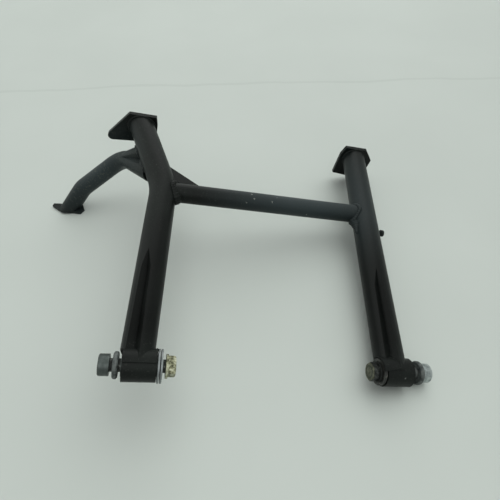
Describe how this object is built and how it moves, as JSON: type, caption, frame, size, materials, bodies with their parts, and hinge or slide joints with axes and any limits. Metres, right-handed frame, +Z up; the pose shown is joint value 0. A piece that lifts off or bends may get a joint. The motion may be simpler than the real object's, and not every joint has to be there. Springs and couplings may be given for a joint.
{
  "type": "motorcycle centre stand",
  "caption": "Welded tubular centre stand: crimped splayed legs, cross tube, gusset, foot plates and a bent kick lever with a pad, with bolts, bushes and collars in its pivot tubes.",
  "frame": {"origin": "middle of the resting footprint's bounding box, on the floor", "axes": "+Z up with the stand lying as it comes to rest; +X from the kick lever's side to the spring peg's side; +Y from the pivots to the foot plates"},
  "size_m": [0.484, 0.351, 0.1367],
  "materials": {
    "black_paint": "semi-gloss",
    "steel": "turned",
    "zinc_steel": "yellow zinc plated",
    "seal_rubber": "matte"
  },
  "bodies": {
    "stand": {"left_leg": "black_paint", "right_leg": "black_paint", "cross_tube": "black_paint", "left_pivot_tube": "black_paint", "right_pivot_tube": "black_paint", "left_foot_plate": "black_paint", "right_foot_plate": "black_paint", "cross_gusset": "black_paint", "spring_peg": "black_paint", "kick_lever": "black_paint", "lever_pad": "black_paint"},
    "left_pivot_pin": {"left_pivot_bush": "steel", "left_pivot_bolt": "zinc_steel", "left_inner_washer": "steel", "left_outer_washer": "steel", "left_seal_ring": "seal_rubber", "left_collar": "steel"},
    "right_pivot_pin": {"right_pivot_bush": "steel", "right_pivot_bolt": "zinc_steel", "right_inner_washer": "steel", "right_outer_washer": "steel", "right_seal_ring": "seal_rubber", "right_collar": "steel"}
  },
  "joints": [
    {"name": "left_pivot", "type": "hinge", "parent": "stand", "child": "left_pivot_pin", "pos_m": [-0.06867, -0.16, 0.08011], "axis": [0.9714, 0, -0.2374], "continuous": true},
    {"name": "right_pivot", "type": "hinge", "parent": "stand", "child": "right_pivot_pin", "pos_m": [0.18311, -0.16, 0.01858], "axis": [0.9714, 0, -0.2374], "continuous": true}
  ]
}
